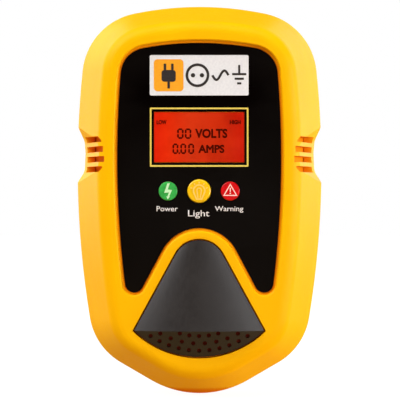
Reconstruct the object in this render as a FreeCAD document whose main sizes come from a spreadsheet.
import FreeCAD, Part
import math
import os
import Sketcher
from FreeCAD import Placement, Rotation, Vector

# Plug-in outlet tester. Millimetres. The origin is the centre of the plug's engagement face,
# +Y points into the wall outlet, the display faces -Y and +Z is up.
# "Case height" below means Z measured from the middle of the case, which lies case_drop under the plug axis.

doc = FreeCAD.newDocument("outlet_tester")
sizes = doc.addObject("Spreadsheet::Sheet", "sizes")

DIMENSIONS = {
    # case
    "case_drop": 14.0, "case_height": 128.97, "crown_radius": 107.2, "shoulder_radius": 21.7,
    "corner_radius": 21.3, "chin_radius": 32.3, "wall": 2.2,
    "front_depth": 20.0, "front_height": 114.8, "front_crown": 90.0, "front_shoulder": 15.2,
    "front_corner": 13.5, "front_chin": 25.0, "front_edge": 4.4, "front_wall": 5.0,
    "rear_depth": 22.0, "rear_height": 117.0, "rear_crown": 96.0, "rear_shoulder": 16.5,
    "rear_corner": 15.5, "rear_chin": 26.5, "rear_edge": 3.0,
    "parting": 39.0, "parting_bevel": 0.5,
    # side scoops and vents
    "flank_x": 40.5, "scoop_depth": 2.5, "front_scoop_lean": 0.295, "rear_scoop_lean": 0.25,
    "vent_width": 1.9, "vent_pitch": 3.25, "vent_top": 19.8,
    # face panel and what sits in it
    "recess_depth": 3.0, "panel_thick": 1.2, "panel_fit": 0.15, "panel_proud": 0.3, "ledge_width": 0.65,
    "recess_draft": 0.4, "recess_chamfer": 0.25,
    "panel_top": 50.95, "panel_crown": 99.19, "panel_shoulder": 8.71, "panel_side": 331.27, "panel_tip": 2.92,
    "panel_arch": 13.69,
    "window_width": 29.2, "window_height": 16.2, "window_z": 20.4, "window_fit": 0.2,
    "badge_width": 32.1, "badge_height": 13.1, "badge_z": 40.5, "badge_thick": 0.6,
    "control_z": 2.9, "lens_spread": 10.1, "lens_radius": 3.05, "lens_stem": 2.2,
    "cap_radius": 3.8, "cap_flange": 4.7, "cap_proud": 1.2, "slide_gap": 0.2,
    # sounder hood
    "hood_top": 13.05, "hood_arch": 8.5, "hood_side_angle": 28.65, "hood_chin": 30.3,
    "hood_bottom": 50.8, "hood_rise": 0.6, "hood_wall": 1.6, "hood_gap": 0.5, "hole_radius": 0.7,
    "mesh_thick": 0.4,
    # plug
    "boss_radius": 18.4, "boss_depth": 17.0, "boss_clear": 0.2, "flange_side": 46.0, "flange_thick": 2.6,
    "pillar_height": 2.8, "pin_radius": 2.4, "pin_length": 19.0, "pin_spacing": 19.0, "pin_fit": 0.05,
    "shank_radius": 2.1, "pin_neck": 0.5, "pin_mouth": 1.0,
    "earth_radius": 2.5, "earth_offset": 10.0, "sleeve_wall": 0.6, "guide_width": 5.4, "guide_depth": 2.5,
    "clip_slot": 8.0, "clip_width": 6.0, "clip_thick": 0.8,
    "label_width": 29.4, "label_height": 15.4, "label_z": -32.0, "label_thick": 0.35,
    # boards
    "board_thick": 1.6, "main_width": 40.0, "main_height": 87.5, "display_width": 41.0,
    "display_height": 86.0, "main_back": 28.0, "display_back": 46.4,
    # fasteners
    "case_screw": 1.45, "case_head": 2.75, "small_screw": 1.0, "small_head": 1.9,
    "boss_wall": 4.4, "post_radius": 2.4,
}

for row, (name, value) in enumerate(DIMENSIONS.items(), start=1):
    sizes.set("A%d" % row, name)
    sizes.set("B%d" % row, str(value))
    sizes.setAlias("B%d" % row, name)
doc.recompute()


def size(name):
    """Reads one driving dimension from the sheet."""
    return float(sizes.get(name))


CASE_Z = -size("case_drop")
PARTING_Y = -size("parting")
FRONT_TOP = size("front_depth")
INNER_FRONT = FRONT_TOP - size("front_wall")
RECESS_FLOOR = FRONT_TOP - size("recess_depth")
REAR_INNER = size("rear_depth") - size("wall")
BOARD = size("board_thick")
MAIN_FRONT = -size("main_back") - BOARD
DISPLAY_FRONT = -size("display_back") - BOARD
INSERT_BACK = size("boss_depth") + size("wall") + size("pillar_height") + size("flange_thick")


# ---------------------------------------------------------------- outlines

def direction(angle):
    """Unit vector of a heading that turns clockwise from +X, in degrees."""
    return math.cos(math.radians(angle)), -math.sin(math.radians(angle))


def trace(start_z, moves):
    """Follows tangent moves clockwise from (0, start_z): ("line", length) or ("arc", radius, turn)."""
    x, z, heading = 0.0, start_z, 0.0
    pieces = []
    for move in moves:
        if move[0] == "line":
            dx, dz = direction(heading)
            end = (x + dx * move[1], z + dz * move[1])
            pieces.append(("line", (x, z), end))
        else:
            radius, turn = move[1], move[2]
            side = 1.0 if turn > 0 else -1.0
            nx, nz = direction(heading + 90.0 * side)
            centre = (x + nx * radius, z + nz * radius)
            reached = []
            for part in (0.5, 1.0):
                ox, oz = direction(heading + turn * part - 90.0 * side)
                reached.append((centre[0] + ox * radius, centre[1] + oz * radius))
            end = reached[1]
            pieces.append(("arc", (x, z), reached[0], end))
            heading += turn
        x, z = end
    return pieces


def both_sides(half):
    """Completes a right-hand half outline with its mirror image, keeping one direction of travel."""
    left = []
    for piece in reversed(half):
        points = [(-p[0], p[1]) for p in reversed(piece[1:])]
        left.append((piece[0],) + tuple(points))
    return half + left


# Headings at the start and end of the case's arcs: crown, shoulder, side, corner and chin.
CASE_TURNS = [(0.0, 11.85), (11.85, 84.04), (84.04, 99.33), (99.33, 149.8), (149.8, 180.0)]
# How far the panel's edge turns at its crown, shoulder, side and lower tip.
PANEL_TURNS = [10.64, 74.57, 11.93, 144.9]


def case_outline(end, share, inset):
    """Case outline at a share of the way from the parting plane to the front or rear face."""
    def blend(near, far):
        return size(near) + (size(far) - size(near)) * share

    crown = blend("crown_radius", end + "_crown") - inset
    shoulder = blend("shoulder_radius", end + "_shoulder") - inset
    corner = blend("corner_radius", end + "_corner") - inset
    chin = blend("chin_radius", end + "_chin") - inset
    height = blend("case_height", end + "_height") - 2.0 * inset
    radii = [crown, shoulder, None, corner, chin]
    across = []
    down = []
    for begin, stop in CASE_TURNS:
        low, high = math.radians(begin), math.radians(stop)
        across.append(math.sin(high) - math.sin(low))
        down.append(math.cos(low) - math.cos(high))
    known_x = sum(r * a for r, a in zip(radii, across) if r)
    known_z = sum(r * d for r, d in zip(radii, down) if r)
    slope = math.radians(CASE_TURNS[3][1])
    # Two unknowns, the side radius and the straight run under the corner, close the outline.
    det = across[2] * math.sin(slope) - down[2] * math.cos(slope)
    side = (-known_x * math.sin(slope) - (height - known_z) * math.cos(slope)) / det
    run = (across[2] * (height - known_z) + down[2] * known_x) / det
    radii[2] = side
    moves = [("arc", r, stop - begin) for r, (begin, stop) in zip(radii, CASE_TURNS)]
    moves.insert(4, ("line", run))
    return both_sides(trace(height / 2.0, moves))


def panel_outline(grow):
    """Face panel outline, grown outward by the given amount."""
    x = 0.0
    heading = 0.0
    moves = []
    for name, turn in zip(("panel_crown", "panel_shoulder", "panel_side", "panel_tip"), PANEL_TURNS):
        radius = size(name) + grow
        low, high = math.radians(heading), math.radians(heading + turn)
        x += radius * (math.sin(high) - math.sin(low))
        heading += turn
        moves.append(("arc", radius, turn))
    arch = size("panel_arch") - grow
    arch_start = -arch * math.sin(math.radians(heading))
    moves.append(("line", (arch_start - x) / math.cos(math.radians(heading))))
    moves.append(("arc", arch, 180.0 - heading))
    return both_sides(trace(size("panel_top") + grow, moves))


def fan_corner(grow):
    """Lower right corner of the hood's fan outline."""
    angle = math.radians(size("hood_side_angle"))
    arch = size("hood_arch") + grow
    arch_z = -size("hood_top") - size("hood_arch")
    tangent = (arch * math.cos(angle), arch_z + arch * math.sin(angle))
    chin = size("hood_chin") + grow
    chin_z = size("hood_chin") - size("hood_bottom")
    dx, dz = math.sin(angle), -math.cos(angle)
    fx, fz = tangent[0], tangent[1] - chin_z
    half = fx * dx + fz * dz
    reach = -half + math.sqrt(half * half - (fx * fx + fz * fz - chin * chin))
    return (tangent[0] + dx * reach, tangent[1] + dz * reach), reach, chin, chin_z


def fan_outline(grow):
    """Fan shape of the sounder hood: round arch, straight sides, curved bottom edge."""
    corner, reach, chin, chin_z = fan_corner(grow)
    arch_turn = 90.0 - size("hood_side_angle")
    moves = [("arc", size("hood_arch") + grow, arch_turn), ("line", reach)]
    half = trace(-size("hood_top") + grow, moves)
    bottom = (0.0, chin_z - chin)
    angle = math.atan2(corner[0], chin_z - corner[1]) / 2.0
    middle = (chin * math.sin(angle), chin_z - chin * math.cos(angle))
    half.append(("arc", corner, middle, bottom))
    return both_sides(half)


# ---------------------------------------------------------------- document object helpers

def body(label, y=PARTING_Y, z=CASE_Z):
    """A sub-part body whose local XZ plane lies at the given Y and whose local origin height is z."""
    part = doc.addObject("PartDesign::Body", label)
    part.Label = label
    part.Placement = Placement(Vector(0, y, z), Rotation())
    return part


def sketch(part, forward=0.0, role="XZ_Plane"):
    """An empty sketch on one of the body's planes. On the XZ plane, forward moves it towards -Y."""
    drawing = part.newObject("Sketcher::SketchObject", part.Label + "_sketch")
    plane = [item for item in part.Origin.OriginFeatures if item.Role == role][0]
    drawing.AttachmentSupport = [(plane, "")]
    drawing.MapMode = "FlatFace"
    drawing.AttachmentOffset = Placement(Vector(0, 0, forward), Rotation())
    return drawing


def draw(drawing, pieces):
    """Adds an outline of lines and arcs to a sketch."""
    for piece in pieces:
        points = [Vector(p[0], p[1], 0) for p in piece[1:]]
        if piece[0] == "line":
            drawing.addGeometry(Part.LineSegment(points[0], points[1]), False)
        else:
            drawing.addGeometry(Part.Arc(points[0], points[1], points[2]), False)
    return drawing


def polygon(points):
    """Closed outline of straight lines through the points."""
    return [("line", points[i], points[(i + 1) % len(points)]) for i in range(len(points))]


def softened(points, radii):
    """Closed outline through the points, each corner rounded by its radius or, at 0, left sharp."""
    count = len(points)
    stops = []
    for index, radius in enumerate(radii):
        corner = Vector(points[index][0], points[index][1], 0)
        back = (Vector(*points[index - 1], 0) - corner).normalize()
        ahead = (Vector(*points[(index + 1) % count], 0) - corner).normalize()
        half = back.getAngle(ahead) / 2.0
        reach = radius / math.tan(half)
        nearest = (back + ahead).normalize() * (radius / math.sin(half) - radius)
        stops.append((corner + back * reach, corner + nearest, corner + ahead * reach, radius))
    pieces = []
    for index, (start, middle, end, radius) in enumerate(stops):
        if radius:
            pieces.append(("arc", (start.x, start.y), (middle.x, middle.y), (end.x, end.y)))
        after = stops[(index + 1) % count][0]
        pieces.append(("line", (end.x, end.y), (after.x, after.y)))
    return pieces


def bind(drawing, kind, refs, value, expression):
    """Adds a dimension to a sketch and ties it to an expression when one is given."""
    index = drawing.addConstraint(Sketcher.Constraint(kind, *refs, value))
    if expression:
        drawing.setExpression("Constraints[%d]" % index, expression)


def circle(drawing, x, z, radius, grow=0.0):
    """A circle at (x, z) with its radius bound to a sheet name plus an allowance."""
    value = size(radius) + grow
    index = drawing.addGeometry(Part.Circle(Vector(x, z, 0), Vector(0, 0, 1), value), False)
    bind(drawing, "Radius", (index,), value, "sizes.%s + (%s)" % (radius, grow))
    bind(drawing, "DistanceX", (-1, 1, index, 3), x, None)
    bind(drawing, "DistanceY", (-1, 1, index, 3), z, None)
    return drawing


def rectangle(drawing, x, z, width, height, grow=0.0):
    """A rectangle centred on (x, z). Width and height are sheet names, or plain numbers."""
    spans = []
    for entry in (width, height):
        value = size(entry) if isinstance(entry, str) else float(entry)
        formula = "sizes.%s" % entry if isinstance(entry, str) else "%s" % value
        spans.append((value + grow, "%s + (%s)" % (formula, grow)))
    (across, across_formula), (tall, tall_formula) = spans
    x0, x1, z0, z1 = x - across / 2, x + across / 2, z - tall / 2, z + tall / 2
    corners = [(x0, z0), (x1, z0), (x1, z1), (x0, z1)]
    first = drawing.GeometryCount
    draw(drawing, polygon(corners))
    for step in range(4):
        refs = (first + step, 2, first + (step + 1) % 4, 1)
        drawing.addConstraint(Sketcher.Constraint("Coincident", *refs))
        drawing.addConstraint(Sketcher.Constraint("Vertical" if step % 2 else "Horizontal", first + step))
    bind(drawing, "DistanceX", (first, 1, first, 2), across, across_formula)
    bind(drawing, "DistanceY", (first + 1, 1, first + 1, 2), tall, tall_formula)
    bind(drawing, "DistanceX", (-1, 1, first, 1), x0, "%s - (%s) / 2" % (x, across_formula))
    bind(drawing, "DistanceY", (-1, 1, first, 1), z0, "%s - (%s) / 2" % (z, tall_formula))
    return drawing


def length_of(feature, length):
    """Sets a feature length from a sheet expression or a number."""
    if isinstance(length, str):
        feature.setExpression("Length", length)
    else:
        feature.Length = length


def pad(part, drawing, length, backward=False):
    """Raises a sketch towards -Y, or towards +Y when backward."""
    feature = part.newObject("PartDesign::Pad", part.Label + "_pad")
    feature.Profile = drawing
    length_of(feature, length)
    feature.Reversed = backward
    doc.recompute()
    return feature


def pocket(part, drawing, length, forward=False):
    """Cuts a sketch towards +Y, or towards -Y when forward, and checks that material went away."""
    before = part.Tip.Shape.Volume
    feature = part.newObject("PartDesign::Pocket", part.Label + "_pocket")
    feature.Profile = drawing
    length_of(feature, length)
    feature.Reversed = forward
    doc.recompute()
    if feature.Shape.Volume > before - 1e-3:
        raise RuntimeError("pocket removed nothing in " + part.Label)
    return feature


def loft(part, kind, first, second):
    """Straight-sided loft between two sketches of the same body."""
    feature = part.newObject("PartDesign::" + kind, part.Label + "_loft")
    feature.Profile = first
    feature.Sections = [second]
    feature.Ruled = True
    doc.recompute()
    return feature


def round_edges(part, radius, wanted):
    """Fillets the tip's edges that the test accepts."""
    base = part.Tip
    names = []
    for index, edge in enumerate(base.Shape.Edges, start=1):
        if wanted(edge):
            names.append("Edge%d" % index)
    feature = part.newObject("PartDesign::Fillet", part.Label + "_round")
    feature.Base = (base, names)
    feature.Radius = radius
    doc.recompute()
    return feature


def cylinder(name, radius, length, point, axis=(0, -1, 0)):
    """Part cylinder starting at a point. Radius and length are sheet expressions or numbers."""
    item = doc.addObject("Part::Cylinder", name)
    for prop, value in (("Radius", radius), ("Height", length)):
        if isinstance(value, str):
            item.setExpression(prop, value)
        else:
            setattr(item, prop, value)
    item.Placement = Placement(Vector(*point), Rotation(Vector(0, 0, 1), Vector(*axis)))
    return item


def block(name, width, depth, height, centre):
    """Part box by its middle in X and Z and its rear face in Y; it reaches depth towards -Y."""
    item = doc.addObject("Part::Box", name)
    for prop, value in (("Length", width), ("Width", depth), ("Height", height)):
        if isinstance(value, str):
            item.setExpression(prop, value)
        else:
            setattr(item, prop, value)
    doc.recompute()
    wide, deep, tall = float(item.Length), float(item.Width), float(item.Height)
    corner = Vector(centre[0] - wide / 2, centre[1] - deep, centre[2] - tall / 2)
    item.Placement = Placement(corner, Rotation())
    return item


def group(label, members):
    """One sub-part made of several separate solids."""
    item = doc.addObject("Part::Compound", label)
    item.Links = members
    item.Label = label
    return item


def fuse(name, members):
    item = doc.addObject("Part::MultiFuse", name)
    item.Shapes = members
    return item


def cut(name, base, tool):
    item = doc.addObject("Part::Cut", name)
    item.Base = base
    item.Tool = tool
    return item


def solid(label, shape):
    """A sub-part whose shape comes straight from shape functions."""
    item = doc.addObject("Part::Feature", label)
    item.Label = label
    item.Shape = shape
    return item


def in_case(x, y, height):
    """Point given by its height from the middle of the case."""
    return (x, y, height + CASE_Z)


# ---------------------------------------------------------------- shared details of both covers

CASE_SCREWS = [(26.0, 43.0), (-26.0, 43.0), (24.8, -37.0), (-24.8, -37.0)]
MAIN_SCREWS = [(17.0, 40.5), (-17.0, 40.5), (17.0, -40.0), (-17.0, -40.0)]
DISPLAY_SCREWS = [(17.5, 38.0), (-17.5, 38.0), (17.5, -6.0), (-17.5, -6.0)]
INSERT_SCREWS = [(17.5, 17.5), (-17.5, 17.5), (17.5, -17.5), (-17.5, -17.5)]
VENT_ENDS = [31.8, 31.2, 30.8, 31.5]
# Rows of sound holes in the hood: distance in from the chin edge, number of holes, degrees between them.
HOLE_ROWS = [(2.1, 11, 6.75), (4.5, 8, 8.3), (7.0, 5, 7.7)]


def mirrored(points, side):
    return [(x * side, z) for x, z in points]


def flank_lean(end):
    """How far the case's flank leans inward per millimetre of depth towards its front or rear."""
    widths = [max(point[0] for piece in case_outline(end, share, 0.0) for point in piece[1:])
              for share in (0.0, 1.0)]
    return (widths[0] - widths[1]) / size(end + "_depth")


def slanted_bar(part, kind, points, lean, near, far, radii=None):
    """Adds or cuts a bar between two depths of a cover. It leans inward by lean per millimetre of depth."""
    for side in (1.0, -1.0):
        sections = []
        for depth in (near, far):
            shifted = mirrored([(x - lean * abs(depth), z) for x, z in points], side)
            outline = softened(shifted, radii) if radii else polygon(shifted)
            sections.append(draw(sketch(part, depth), outline))
        loft(part, kind, sections[0], sections[1])


def scoop_and_backing(part, end, reach, inner):
    """Side scoop with a wall of even thickness behind it."""
    floor = size("flank_x") - size("scoop_depth")
    inside, outside = floor - 2.1, size("flank_x") - 1.3
    backing = [(inside, 3.6), (outside, 3.6), (outside, 26.4), (inside, 26.4)]
    slanted_bar(part, "AdditiveLoft", backing, flank_lean(end), 0.0, inner)
    scoop = [(48.0, 30.6), (48.0, -2.6), (40.6, 5.9), (floor + 0.25, 9.5), (floor, 15.5), (floor + 0.3, 19.6),
             (40.4, 24.1)]
    radii = [0.0, 0.0, 0.0, 5.0, 0.0, 5.0, 0.0]
    slanted_bar(part, "SubtractiveLoft", scoop, size(end + "_scoop_lean"), 0.0, reach, radii)


def baffle(part, end, near, far):
    """Wall just inside the vents, which stops a straight view and a straight finger to the boards."""
    bar = [(33.4, 4.4), (35.2, 4.4), (35.2, 25.6), (33.4, 25.6)]
    slanted_bar(part, "AdditiveLoft", bar, size(end + "_scoop_lean"), near, far)


# ---------------------------------------------------------------- front cover

def make_front_cover():
    part = body("front_cover")
    wall = size("wall")
    bevel = size("parting_bevel")
    loft(part, "AdditiveLoft", draw(sketch(part, bevel), case_outline("front", bevel / FRONT_TOP, 0.0)),
         draw(sketch(part, FRONT_TOP), case_outline("front", 1.0, 0.0)))
    round_edges(part, size("front_edge"), lambda e: e.BoundBox.YMax < -FRONT_TOP + 0.01)
    loft(part, "AdditiveLoft", draw(sketch(part), case_outline("front", 0.0, bevel)),
         draw(sketch(part, bevel), case_outline("front", bevel / FRONT_TOP, 0.0)))
    share = INNER_FRONT / FRONT_TOP
    loft(part, "SubtractiveLoft", draw(sketch(part), case_outline("front", 0.0, wall)),
         draw(sketch(part, INNER_FRONT), case_outline("front", share, wall)))
    scoop_and_backing(part, "front", FRONT_TOP + 0.5, INNER_FRONT + 0.2)
    bosses = sketch(part, INNER_FRONT + 0.5)
    for x, z in CASE_SCREWS:
        circle(bosses, x, z, "boss_wall", -0.9)
    pad(part, bosses, INNER_FRONT, backward=True)
    posts = sketch(part, INNER_FRONT + 0.5)
    for x, z in DISPLAY_SCREWS:
        circle(posts, x, z, "post_radius")
    pad(part, posts, INNER_FRONT + 0.5 - (-DISPLAY_FRONT + PARTING_Y), backward=True)
    cut_vents(part)
    baffle(part, "front", 0.0, INNER_FRONT + 0.2)
    cut_recess(part)
    pocket(part, draw(sketch(part, FRONT_TOP), fan_outline(size("hood_gap"))), "sizes.recess_depth")
    pocket(part, draw(sketch(part, FRONT_TOP), fan_outline(-size("hood_wall"))), "sizes.front_wall + 1")
    openings = sketch(part, FRONT_TOP)
    rectangle(openings, 0, size("window_z"), "window_width", "window_height", -2.0)
    circle(openings, 0, size("control_z"), "cap_radius", 0.22)
    for side in (1, -1):
        circle(openings, side * size("lens_spread"), size("control_z"), "lens_stem", 0.3)
    pocket(part, openings, "sizes.front_wall + 0.5")
    pilots = sketch(part)
    for x, z in CASE_SCREWS:
        circle(pilots, x, z, "case_screw", 0.05)
    pocket(part, pilots, 12.0, forward=True)
    small = sketch(part)
    for x, z in DISPLAY_SCREWS:
        circle(small, x, z, "small_screw", 0.05)
    pocket(part, small, INNER_FRONT, forward=True)
    return part


def cut_recess(part):
    """Recess for the panel: chamfered rim, steep wall, a narrow ledge and the pocket that the panel sits in."""
    ledge = RECESS_FLOOR + size("panel_thick") - size("panel_proud")
    rim = FRONT_TOP - size("recess_chamfer")
    mouth = size("ledge_width") + size("recess_draft")
    loft(part, "SubtractiveLoft", draw(sketch(part, ledge), panel_outline(size("ledge_width"))),
         draw(sketch(part, rim), panel_outline(mouth)))
    loft(part, "SubtractiveLoft", draw(sketch(part, rim), panel_outline(mouth)),
         draw(sketch(part, FRONT_TOP), panel_outline(mouth + size("recess_chamfer"))))
    pocket(part, draw(sketch(part, ledge), panel_outline(size("panel_fit"))), ledge - RECESS_FLOOR)


def cut_vents(part):
    """Four vent slots through each side scoop, their inner ends following the scoop."""
    half = size("vent_width") / 2.0
    for side in (1.0, -1.0):
        slots = sketch(part, FRONT_TOP + 0.5)
        for index, inner in enumerate(VENT_ENDS):
            z = size("vent_top") - index * size("vent_pitch")
            outline = [(inner, z - half), (44.0, z - half), (44.0, z + half), (inner, z + half)]
            if index == 0:
                outline[3:] = [(inner + 1.2, z + half), (inner, z + half - 1.3)]
            if index == len(VENT_ENDS) - 1:
                outline[:1] = [(inner, z - half + 1.3), (inner + 1.2, z - half)]
            draw(slots, polygon(mirrored(outline, side)))
        pocket(part, slots, FRONT_TOP + 0.5 - 3.0)


# ---------------------------------------------------------------- rear cover

def make_rear_cover():
    part = body("rear_cover")
    wall = size("wall")
    depth = size("rear_depth")
    plug_z = -CASE_Z
    bevel = size("parting_bevel")
    loft(part, "AdditiveLoft", draw(sketch(part, -depth), case_outline("rear", 1.0, 0.0)),
         draw(sketch(part, -bevel), case_outline("rear", bevel / depth, 0.0)))
    round_edges(part, size("rear_edge"), lambda e: e.BoundBox.YMin > depth - 0.01)
    loft(part, "AdditiveLoft", draw(sketch(part, -bevel), case_outline("rear", bevel / depth, 0.0)),
         draw(sketch(part), case_outline("rear", 0.0, bevel)))
    loft(part, "SubtractiveLoft", draw(sketch(part), case_outline("rear", 0.0, wall)),
         draw(sketch(part, -REAR_INNER), case_outline("rear", REAR_INNER / depth, wall)))
    scoop_and_backing(part, "rear", -depth - 0.5, -REAR_INNER - 0.2)
    baffle(part, "rear", 0.0, -REAR_INNER - 0.2)
    bosses = sketch(part, -REAR_INNER - 0.5)
    for x, z in CASE_SCREWS:
        circle(bosses, x, z, "boss_wall")
    pad(part, bosses, REAR_INNER + 0.5)
    stands = sketch(part, -REAR_INNER - 0.5)
    for x, z in MAIN_SCREWS:
        circle(stands, x, z, "post_radius")
    pad(part, stands, REAR_INNER + 0.5 - (size("parting") - size("main_back")))
    pillars = sketch(part, -REAR_INNER - 0.5)
    for x, z in INSERT_SCREWS:
        circle(pillars, x, z + plug_z, "post_radius", 0.6)
    pad(part, pillars, "sizes.pillar_height + 0.5")
    opening = circle(sketch(part), 0, plug_z, "boss_radius", size("boss_clear"))
    pocket(part, opening, depth + 1.0)
    heads = sketch(part, -depth)
    clearances = sketch(part, -depth)
    for x, z in CASE_SCREWS:
        circle(heads, x, z, "case_head", 0.4)
        circle(clearances, x, z, "case_screw", 0.2)
    pocket(part, heads, 12.0, forward=True)
    pocket(part, clearances, depth + 0.5, forward=True)
    pilots = sketch(part)
    for x, z in MAIN_SCREWS + [(x, z + plug_z) for x, z in INSERT_SCREWS]:
        circle(pilots, x, z, "small_screw", 0.05)
    pocket(part, pilots, depth - 1.0)
    label = rectangle(sketch(part, -depth), 0, size("label_z"), "label_width", "label_height", 0.6)
    pocket(part, label, "sizes.label_thick + 0.15", forward=True)
    return part


# ---------------------------------------------------------------- face

def make_face_panel():
    part = body("face_panel")
    pad(part, draw(sketch(part, RECESS_FLOOR), panel_outline(0.0)), "sizes.panel_thick")
    top = RECESS_FLOOR + size("panel_thick")
    fit = size("window_fit")
    holes = rectangle(sketch(part, top), 0, size("window_z"), "window_width", "window_height", 2 * fit)
    circle(holes, 0, size("control_z"), "cap_radius", size("slide_gap"))
    for side in (1, -1):
        circle(holes, side * size("lens_spread"), size("control_z"), "lens_radius", 0.1)
    pocket(part, holes, "sizes.panel_thick + 0.5")
    seat = rectangle(sketch(part, top), 0, size("badge_z"), "badge_width", "badge_height", 0.3)
    pocket(part, seat, "sizes.badge_thick")
    return part


def make_badge_plate():
    part = body("badge_plate")
    top = RECESS_FLOOR + size("panel_thick") - size("badge_thick")
    plate = rectangle(sketch(part, top), 0, size("badge_z"), "badge_width", "badge_height")
    pad(part, plate, "sizes.badge_thick + 0.05")
    round_edges(part, 0.5, lambda e: e.BoundBox.YLength > 0.5)
    return part


def make_display_window():
    part = body("display_window")
    pane = rectangle(sketch(part, RECESS_FLOOR), 0, size("window_z"), "window_width", "window_height")
    pad(part, pane, "sizes.panel_thick - 0.1")
    return part


def make_lens(label, side):
    """Domed indicator lens with a light pipe reaching back towards its lamp."""
    part = body(label)
    x = side * size("lens_spread")
    z = size("control_z")
    pad(part, circle(sketch(part, RECESS_FLOOR), x, z, "lens_radius"), "sizes.panel_thick + 0.4")
    round_edges(part, 0.35, lambda e: e.BoundBox.YMax < -RECESS_FLOOR - 1.0)
    pad(part, circle(sketch(part, RECESS_FLOOR), x, z, "lens_stem"), 4.4, backward=True)
    return part


def make_button_cap():
    """Push cap: raised disc, guiding skirt flange behind the front wall and a stem to the switch."""
    part = body("button_cap")
    z = size("control_z")
    face = RECESS_FLOOR + size("panel_thick") + size("cap_proud")
    inner = INNER_FRONT - 0.2
    pad(part, circle(sketch(part, inner - 1.0), 0, z, "cap_radius"), face - inner + 1.0)
    round_edges(part, 0.5, lambda e: e.BoundBox.YMax < -face + 0.01)
    pad(part, circle(sketch(part, inner - 1.0), 0, z, "cap_flange"), 1.0)
    stem = inner - 1.0 - (52.6 + PARTING_Y)
    pad(part, circle(sketch(part, inner - 0.8), 0, z, "cap_radius", -2.4), stem + 0.2, backward=True)
    return part


# ---------------------------------------------------------------- sounder hood

def outline_wire(pieces, y):
    """Closed wire of an outline in the plane at the given local Y."""
    edges = []
    for piece in pieces:
        points = [Vector(p[0], y, p[1]) for p in piece[1:]]
        if piece[0] == "line":
            edges.append(Part.makeLine(points[0], points[1]))
        else:
            edges.append(Part.Arc(points[0], points[1], points[2]).toShape())
    return Part.Wire(edges)


def fan_prism(grow, rear, front):
    """Straight prism of the fan outline between two depths."""
    face = Part.Face(outline_wire(fan_outline(grow), -rear))
    return face.extrude(Vector(0, rear - front, 0))


def hood_bulge():
    """Half cone running from the arch to a level crease, then a curved underside back to the bottom edge."""
    corner, reach, chin, chin_z = fan_corner(0.0)
    half_width, crease = corner
    rise = size("hood_rise")
    front = -FRONT_TOP
    drop = chin_z - crease
    proud = rise * (chin - drop)
    bottom = Part.Arc(Vector(-half_width, front, crease), Vector(0, front, chin_z - chin),
                      Vector(half_width, front, crease)).toShape()
    chord = Part.makeLine(Vector(half_width, front, crease), Vector(-half_width, front, crease))
    lift = chin - drop
    under = Part.Face(Part.Wire([bottom, chord])).extrude(Vector(0, -rise * lift, lift))
    under = under.common(Part.makeBox(80, 20, 30, Vector(-40, front - 10, crease - 30)))
    level = front + rise * drop
    rim = Part.Ellipse(Vector(chin, level, crease), Vector(0, level - rise * chin, crease),
                       Vector(0, level, crease))
    spans = [rim.parameter(Vector(x, front, crease)) for x in (-half_width, half_width)]
    low, high = min(spans), max(spans)
    arc = Part.ArcOfEllipse(rim, low, high).toShape()
    if arc.BoundBox.YMin > front - 0.9 * proud:
        arc = Part.ArcOfEllipse(rim, high, low + 2.0 * math.pi).toShape()
    section = Part.Wire([arc, chord])
    slope = math.tan(math.radians(size("hood_side_angle")))
    apex = Part.Vertex(Vector(0, front, crease + half_width / slope))
    cone = Part.makeLoft([section, apex], True, True)
    return under.fuse(cone)


def make_speaker_hood():
    base = RECESS_FLOOR + size("mesh_thick")
    wall = size("hood_wall")
    bulge = hood_bulge()
    outer = fan_prism(0.0, base, FRONT_TOP).fuse(bulge.common(fan_prism(0.0, base, FRONT_TOP + 9.0)))
    inside = fan_prism(-wall, base - 1.0, FRONT_TOP - wall)
    lower = bulge.copy()
    lower.translate(Vector(0, wall, 0))
    inside = inside.fuse(lower.common(fan_prism(-wall, base - 1.0, FRONT_TOP + 9.0)))
    shape = outer.cut(inside)
    chin_z = size("hood_chin") - size("hood_bottom")
    holes = []
    for gap, count, step in HOLE_ROWS:
        for index in range(count):
            angle = math.radians((index - (count - 1) / 2.0) * step)
            radius = size("hood_chin") - gap
            centre = Vector(radius * math.sin(angle), -base, chin_z - radius * math.cos(angle))
            holes.append(Part.makeCylinder(size("hole_radius"), 20, centre, Vector(0, -1, 0)))
    shape = shape.cut(Part.makeCompound(holes)).removeSplitter()
    item = solid("speaker_hood", shape)
    item.Placement = Placement(Vector(0, PARTING_Y, CASE_Z), Rotation())
    return item


def make_dust_mesh():
    part = body("dust_mesh")
    pad(part, draw(sketch(part, RECESS_FLOOR), fan_outline(-0.2)), "sizes.mesh_thick")
    return part


# ---------------------------------------------------------------- plug

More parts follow.
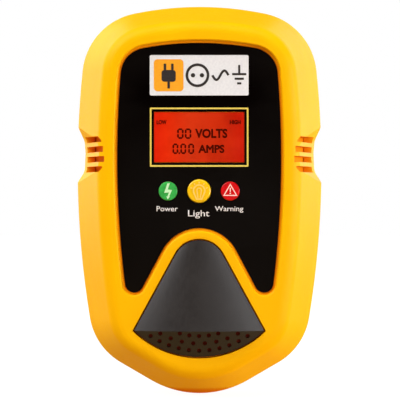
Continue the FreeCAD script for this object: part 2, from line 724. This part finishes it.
def make_plug_insert():
    """Round plug body with guide grooves, clip slots, pin holes and a screwed-on square flange."""
    part = body("plug_insert", 0.0, 0.0)
    back = INSERT_BACK
    collar = back - size("flange_thick")
    shank = circle(sketch(part), 0, 0, "boss_radius")
    pad(part, shank, "sizes.boss_depth + sizes.wall + sizes.pillar_height")
    round_edges(part, 0.8, lambda e: e.BoundBox.YMin > -0.01)
    flange = rectangle(sketch(part, collar), 0, 0, "flange_side", "flange_side")
    pad(part, flange, "sizes.flange_thick")
    round_edges(part, 8.0, lambda e: e.BoundBox.YLength > 2.5 and abs(e.BoundBox.XMax) > 22.9)
    radius = size("boss_radius")
    deep = size("guide_depth")
    grooves = sketch(part)
    for side in (1, -1):
        rectangle(grooves, side * (radius + 2.0 - deep / 2), 0, deep + 4.0, "guide_width")
    pocket(part, grooves, "sizes.boss_depth", forward=True)
    slots = sketch(part)
    for side in (1, -1):
        rectangle(slots, 0, side * (15.4 + 1.6), "clip_slot", 3.2)
    pocket(part, slots, back + 1.0, forward=True)
    hollow = circle(sketch(part, back), 0, 0, "boss_radius", -5.0)
    for side in (1, -1):
        circle(hollow, side * size("pin_spacing") / 2, 0, "pin_radius", 1.0)
    pocket(part, hollow, back - 4.0)
    tower = sketch(part, back)
    circle(tower, 0, size("earth_offset"), "earth_radius", 2.4)
    pad(part, tower, back - 3.0, backward=True)
    bores = sketch(part)
    for side in (1, -1):
        circle(bores, side * size("pin_spacing") / 2, 0, "shank_radius", size("pin_fit"))
    circle(bores, 0, size("earth_offset"), "earth_radius")
    pocket(part, bores, back + 1.0, forward=True)
    mouths = sketch(part)
    for side in (1, -1):
        circle(mouths, side * size("pin_spacing") / 2, 0, "pin_radius", 0.2)
    pocket(part, mouths, "sizes.pin_mouth", forward=True)
    sleeve = circle(sketch(part, back), 0, size("earth_offset"), "earth_radius", size("sleeve_wall") + 0.05)
    pocket(part, sleeve, back - 0.5)
    screws = sketch(part)
    for x, z in INSERT_SCREWS:
        circle(screws, x, z, "small_screw", 0.3)
    pocket(part, screws, back + 1.0, forward=True)
    return part


def make_pin(label, side):
    """Round contact pin with a domed tip, a slimmer shank held in the insert and a stub for its wire."""
    part = body(label, 0.0, 0.0)
    x = side * size("pin_spacing") / 2
    back = INSERT_BACK
    contact = circle(sketch(part, -size("pin_length")), x, 0, "pin_radius")
    pad(part, contact, "sizes.pin_length - sizes.pin_neck")
    round_edges(part, 1.6, lambda e: e.BoundBox.YMin > size("pin_length") - 0.01)
    pad(part, circle(sketch(part, -1.0), x, 0, "shank_radius"), back + 1.0)
    pad(part, circle(sketch(part, back - 0.5), x, 0, "shank_radius", -0.7), 1.9)
    return part


def make_earth_parts():
    """Earth sleeve for the outlet's earth pin, and the strap whose two bowed ends are the side clips."""
    back = INSERT_BACK
    offset = size("earth_offset")
    outer = cylinder("sleeve_outer", "sizes.earth_radius + sizes.sleeve_wall", back - 0.5, (0, -0.5, offset))
    inner = cylinder("sleeve_inner", "sizes.earth_radius", back + 1.0, (0, 0.5, offset))
    sleeve = cut("earth_sleeve", outer, inner)
    sleeve.Label = "earth_sleeve"
    part = body("earth_strap", 0.0, 0.0)
    thick = size("clip_thick")
    profile = sketch(part, 0.0, "YZ_Plane")
    rear = -back - thick
    inner_z = 16.0
    outer_z = inner_z + thick
    bow_rear, bow_middle, bow_front = -15.0, -8.5, -2.0
    bow = 1.3
    upper = [("line", (rear, 0.0), (rear, outer_z)), ("line", (rear, outer_z), (bow_rear, outer_z)),
             ("arc", (bow_rear, outer_z), (bow_middle, outer_z + bow), (bow_front, outer_z)),
             ("line", (bow_front, outer_z), (bow_front, inner_z)),
             ("arc", (bow_front, inner_z), (bow_middle, inner_z + bow), (bow_rear, inner_z)),
             ("line", (bow_rear, inner_z), (rear + thick, inner_z)),
             ("line", (rear + thick, inner_z), (rear + thick, 0.0))]
    lower = [(kind[0],) + tuple((y, -z) for y, z in kind[1:]) for kind in upper]
    draw(profile, upper + lower)
    feature = pad(part, profile, "sizes.clip_width")
    feature.Midplane = True
    return [sleeve, part]


# ---------------------------------------------------------------- fasteners

def make_screws(label, spots, radius, head, length, head_length, toward_front):
    """Slotted screws; each spot is the point where the head's underside sits."""
    members = []
    step = -1.0 if toward_front else 1.0
    for index, (x, y, z) in enumerate(spots):
        name = "%s_%d" % (label, index)
        axis = (0, step, 0)
        shaft = cylinder(name + "_shaft", "sizes." + radius, length + 0.2, (x, y - step * 0.2, z), axis)
        cap = cylinder(name + "_head", "sizes." + head, head_length, (x, y, z), (0, -step, 0))
        outer = y - step * head_length
        rear = max(outer, outer + step * 0.6)
        slot = block(name + "_slot", size(head) * 2.5, 0.6, size(head) * 0.25, (x, rear, z))
        members.append(cut(name + "_body", fuse(name + "_blank", [shaft, cap]), slot))
    return group(label, members)


def make_fasteners():
    case_y = PARTING_Y + size("rear_depth") - 12.0
    case = [in_case(x, case_y, z) for x, z in CASE_SCREWS]
    main = [in_case(x, MAIN_FRONT, z) for x, z in MAIN_SCREWS]
    display = [in_case(x, -size("display_back"), z) for x, z in DISPLAY_SCREWS]
    insert = [(x, -INSERT_BACK, z) for x, z in INSERT_SCREWS]
    return [
        make_screws("case_screws", case, "case_screw", "case_head", 20.0, 2.0, True),
        make_screws("main_board_screws", main, "small_screw", "small_head", 8.0, 1.3, False),
        make_screws("display_board_screws", display, "small_screw", "small_head", 6.5, 1.2, True),
        make_screws("insert_screws", insert, "small_screw", "small_head", 6.5, 1.3, False),
    ]


# ---------------------------------------------------------------- boards

def make_boards():
    """Two bare circuit boards, drilled for their screws."""
    boards = []
    for label, width, height, back, middle, spots in (
            ("main_board", "main_width", "main_height", "main_back", 0.25, MAIN_SCREWS),
            ("display_board", "display_width", "display_height", "display_back", -1.5, DISPLAY_SCREWS)):
        part = body(label, -size(back))
        pad(part, rectangle(sketch(part), 0, middle, width, height), "sizes.board_thick")
        holes = sketch(part)
        for x, z in spots:
            circle(holes, x, z, "small_screw", 0.2)
        pocket(part, holes, "sizes.board_thick + 0.5", forward=True)
        boards.append(part)
    return boards


def make_display_parts():
    """LCD stack on the display board: light panel, glass pair, contact strips and the frame around them."""
    z = size("window_z")
    glass = block("lcd_glass", 34.0, 2.2, 22.0, in_case(0, DISPLAY_FRONT - 2.7, z))
    light = block("backlight_panel", 31.8, 2.6, 18.0, in_case(0, DISPLAY_FRONT, z))
    strips = [block("strip_%d" % side, 30.0, 2.7, 1.4, in_case(0, DISPLAY_FRONT, z + side * 10.1))
              for side in (1, -1)]
    lamps = [block("lamp_%d" % side, 1.0, 1.2, 3.0, in_case(side * 16.6, DISPLAY_FRONT, z))
             for side in (1, -1)]
    outer = block("frame_outer", 37.0, 5.8, 25.0, in_case(0, DISPLAY_FRONT, z))
    inner = block("frame_inner", 34.4, 5.0, 22.4, in_case(0, DISPLAY_FRONT + 0.05, z))
    window = block("frame_window", 30.4, 8.0, 17.4, in_case(0, DISPLAY_FRONT + 0.05, z))
    frame = cut("lcd_frame", outer, fuse("frame_void", [inner, window]))
    return [glass, light, group("contact_strips", strips), group("backlight_leds", lamps), frame]


def make_indicator(label, side):
    """Small round-topped lamp."""
    x = side * size("lens_spread")
    z = size("control_z")
    rim = cylinder(label + "_rim", 1.8, 0.5, in_case(x, DISPLAY_FRONT, z))
    lamp = cylinder(label + "_lamp", 1.5, 1.2, in_case(x, DISPLAY_FRONT - 0.3, z))
    dome = doc.addObject("Part::Sphere", label + "_dome")
    dome.Radius = 1.5
    dome.Placement = Placement(Vector(*in_case(x, DISPLAY_FRONT - 1.5, z)), Rotation())
    return fuse(label, [rim, lamp, dome])


def make_switch():
    """Push switch: case on the board, plunger under the cap's stem, snap dome under the plunger."""
    z = size("control_z")
    case = block("switch_case", 6.0, 3.5, 6.0, in_case(0, DISPLAY_FRONT, z))
    well = cylinder("switch_well", 1.95, 2.2, in_case(0, DISPLAY_FRONT - 1.4, z))
    outer = cut("switch_body", case, well)
    plunger = cylinder("switch_plunger", 1.75, 2.0, in_case(0, -50.6, z))
    floor = DISPLAY_FRONT - 1.4
    profile = [(0.0, -1.15), (0.0, -1.0), (1.75, 0.0), (1.85, 0.0), (1.85, -0.15)]
    points = [Vector(x, floor + y, 0) for x, y in profile]
    face = Part.Face(Part.makePolygon(points + points[:1]))
    dome = face.revolve(Vector(0, 0, 0), Vector(0, 1, 0), 360)
    dome.translate(Vector(*in_case(0, 0, z)))
    return [outer, plunger, solid("switch_dome", dome)]


def make_sounder():
    """Round sounder can behind the hood, with its sound port."""
    can = cylinder("sounder_can", 8.5, 6.0, in_case(0, DISPLAY_FRONT, -36.0))
    port = cylinder("sounder_port", 1.6, 3.0, in_case(0, DISPLAY_FRONT - 4.5, -36.0))
    return cut("sounder", can, port)


def make_main_components():
    """Power supply and metering parts on the front of the main board."""
    top = MAIN_FRONT
    core_x, core_z = -7.5, 26.0
    core = block("core_block", 22.0, 9.0, 17.0, in_case(core_x, top - 3.0, core_z))
    panes = [block("core_pane_%d" % side, 4.8, 10.0, 10.4, in_case(core_x + side * 5.7, top - 2.5, core_z))
             for side in (1, -1)]
    transformer_core = cut("transformer_core", core, fuse("core_panes", panes))
    coil = block("coil_block", 15.2, 14.4, 9.8, in_case(core_x, top, core_z))
    leg = block("coil_leg", 6.9, 9.3, 12.0, in_case(core_x, top - 2.85, core_z))
    transformer_coil = cut("transformer_coil", coil, leg)
    can = cylinder("can_tube", 5.2, 12.0, in_case(-12.0, top - 0.2, 6.0))
    bead = doc.addObject("Part::Torus", "can_bead")
    bead.Radius1 = 5.5
    bead.Radius2 = 0.5
    bead.Placement = Placement(Vector(*in_case(-12.0, top - 2.2, 6.0)), Rotation(Vector(1, 0, 0), 90))
    capacitor = cut("reservoir_capacitor", can, bead)
    suppressor = block("suppression_capacitor", 8.0, 14.0, 18.0, in_case(7.5, top, 12.0))
    disc = cylinder("varistor_disc", 5.0, 3.4, in_case(11.0, top - 6.6, 33.0), (0, 0, 1))
    legs = [cylinder("varistor_leg_%d" % side, 0.4, 3.6, in_case(11.0 + side * 2.5, top, 34.7))
            for side in (1, -1)]
    varistor = fuse("varistor", [disc] + legs)
    bridge = block("bridge_rectifier", 7.4, 3.0, 8.0, in_case(-2.4, top, 6.0))
    chip = block("meter_chip", 9.0, 1.6, 9.0, in_case(-8.0, top, -16.0))
    crystal = block("timing_crystal", 4.0, 3.4, 10.0, in_case(9.5, top, -26.0))
    ring = doc.addObject("Part::Torus", "choke")
    ring.Radius1 = 5.5
    ring.Radius2 = 2.3
    ring.Placement = Placement(Vector(*in_case(-11.0, top - 2.3, -29.5)), Rotation(Vector(1, 0, 0), 90))
    shunt_outer = block("shunt_outer", 14.0, 6.0, 3.0, in_case(10.5, top, -8.0))
    shunt_inner = block("shunt_inner", 11.6, 4.8, 5.0, in_case(10.5, top, -8.0))
    shunt = cut("current_shunt", shunt_outer, shunt_inner)
    chips = []
    for index in range(8):
        spot = in_case(0.5 + 3.0 * (index % 2), top, -11.0 - 3.4 * (index // 2))
        chips.append(block("resistor_%d" % index, 2.0, 0.6, 1.2, spot))
    return [transformer_core, transformer_coil, capacitor, suppressor, varistor, bridge, chip, crystal, ring,
            shunt, group("chip_resistors", chips)]


def make_fuse():
    """Glass fuse lying along Z in two spring clips."""
    x, y, z = in_case(15.5, MAIN_FRONT - 4.4, 12.0)
    outer = cylinder("fuse_outer", 2.4, 19.0, (x, y, z - 9.5), (0, 0, 1))
    inner = cylinder("fuse_inner", 1.7, 19.4, (x, y, z - 9.7), (0, 0, 1))
    tube = cut("fuse_tube", outer, inner)
    caps = []
    clips = []
    for side in (1, -1):
        start = z + side * 10.0
        cap = cylinder("cap_outer_%d" % side, 2.7, 4.8, (x, y, start), (0, 0, -side))
        hole = cylinder("cap_inner_%d" % side, 2.42, 4.3, (x, y, start - side * 0.5), (0, 0, -side))
        caps.append(cut("cap_%d" % side, cap, hole))
        clip = block("clip_outer_%d" % side, 6.6, 5.2, 3.0, (x, MAIN_FRONT, z + side * 8.3))
        bore = cylinder("clip_bore_%d" % side, 2.75, 4.0, (x, y, z + side * 8.3 - 2.0), (0, 0, 1))
        clips.append(cut("clip_%d" % side, clip, bore))
    return [tube, group("fuse_caps", caps), group("fuse_clips", clips)]


# ---------------------------------------------------------------- wiring

def bent_wire(label, points, radius, bend):
    """Round wire along straight runs joined by bends."""
    corners = [Vector(*p) for p in points]
    edges = []
    start = corners[0]
    for index in range(1, len(corners) - 1):
        here = corners[index]
        before = (start - here).normalize()
        after = (corners[index + 1] - here).normalize()
        half = before.getAngle(after) / 2.0
        setback = bend / math.tan(half)
        first = here + before * setback
        last = here + after * setback
        centre = here + (before + after).normalize() * (bend / math.sin(half))
        middle = centre + (here - centre).normalize() * bend
        edges.append(Part.makeLine(start, first))
        edges.append(Part.Arc(first, middle, last).toShape())
        start = last
    edges.append(Part.makeLine(start, corners[-1]))
    path = Part.Wire(edges)
    circle_edge = Part.makeCircle(radius, corners[0], corners[1] - corners[0])
    return solid(label, path.makePipeShell([Part.Wire([circle_edge])], True, True))


def make_wiring():
    """Three insulated wires behind the main board, and the flat cable between the two boards."""
    level = -INSERT_BACK - 2.4
    board = -size("main_back")
    wires = []
    for label, side, foot in (("line_wire", -1, -24.0), ("neutral_wire", 1, -20.0)):
        x = side * size("pin_spacing") / 2
        end = in_case(x * 0.55, level, foot)
        points = [(x, level, -1.7), (x, level, -12.0), end, (end[0], board, end[2])]
        wires.append(bent_wire(label, points, 0.6, 0.75))
    points = [(4.6, level, 13.0), (4.6, level, 20.0), (0.0, level, 37.5), (0.0, board, 37.5)]
    wires.append(bent_wire("earth_wire", points, 0.6, 0.75))
    sockets = [block("socket_main", 14.0, 4.0, 5.0, in_case(0, MAIN_FRONT, -39.0)),
               block("socket_display", 14.0, 4.0, 5.0, in_case(0, -size("display_back") + 4.0, -39.0))]
    part = body("ribbon_cable", 0.0)
    near, far = MAIN_FRONT - 4.0, -size("display_back") + 4.0
    middle = (near + far) / 2.0
    profile = sketch(part, 0.0, "YZ_Plane")
    low, high = -39.4, -38.8
    bow = 1.2
    draw(profile, [("arc", (near, low), (middle, low + bow), (far, low)), ("line", (far, low), (far, high)),
                   ("arc", (far, high), (middle, high + bow), (near, high)),
                   ("line", (near, high), (near, low))])
    feature = pad(part, profile, 12.0)
    feature.Midplane = True
    return wires + [part, group("ribbon_sockets", sockets)]


def make_rating_label():
    part = body("rating_label", PARTING_Y + size("rear_depth") - size("label_thick") - 0.15)
    outline = rectangle(sketch(part), 0, size("label_z"), "label_width", "label_height")
    pad(part, outline, "sizes.label_thick", backward=True)
    round_edges(part, 1.0, lambda e: e.BoundBox.YLength > 0.3)
    return part


# ---------------------------------------------------------------- assembly

def make_all():
    parts = [make_front_cover(), make_rear_cover()]
    parts += [make_face_panel(), make_badge_plate(), make_display_window()]
    parts += [make_lens("power_lens", -1), make_lens("warning_lens", 1), make_button_cap()]
    parts += [make_speaker_hood(), make_dust_mesh(), make_plug_insert()]
    parts += [make_pin("line_pin", -1), make_pin("neutral_pin", 1)]
    parts += make_earth_parts()
    parts += make_fasteners()
    parts += make_boards()
    parts += make_display_parts()
    parts += [make_indicator("power_led", -1), make_indicator("warning_led", 1)]
    parts += make_switch()
    chip = block("display_driver", 7.0, 1.4, 7.0, in_case(0, DISPLAY_FRONT, -12.0))
    parts += [make_sounder(), chip]
    parts += make_main_components()
    parts += make_fuse()
    parts += make_wiring()
    parts.append(make_rating_label())
    return parts


parts = make_all()
doc.recompute()
for item in doc.Objects:
    if "Invalid" in item.State or "Error" in item.State:
        raise RuntimeError("feature failed: " + item.Label)
for item in parts:
    if item.Shape.isNull() or not item.Shape.isValid():
        raise RuntimeError("bad shape: " + item.Label)
os.makedirs("parts", exist_ok=True)
for item in parts:
    item.Shape.exportStep("parts/%s.step" % item.Label)
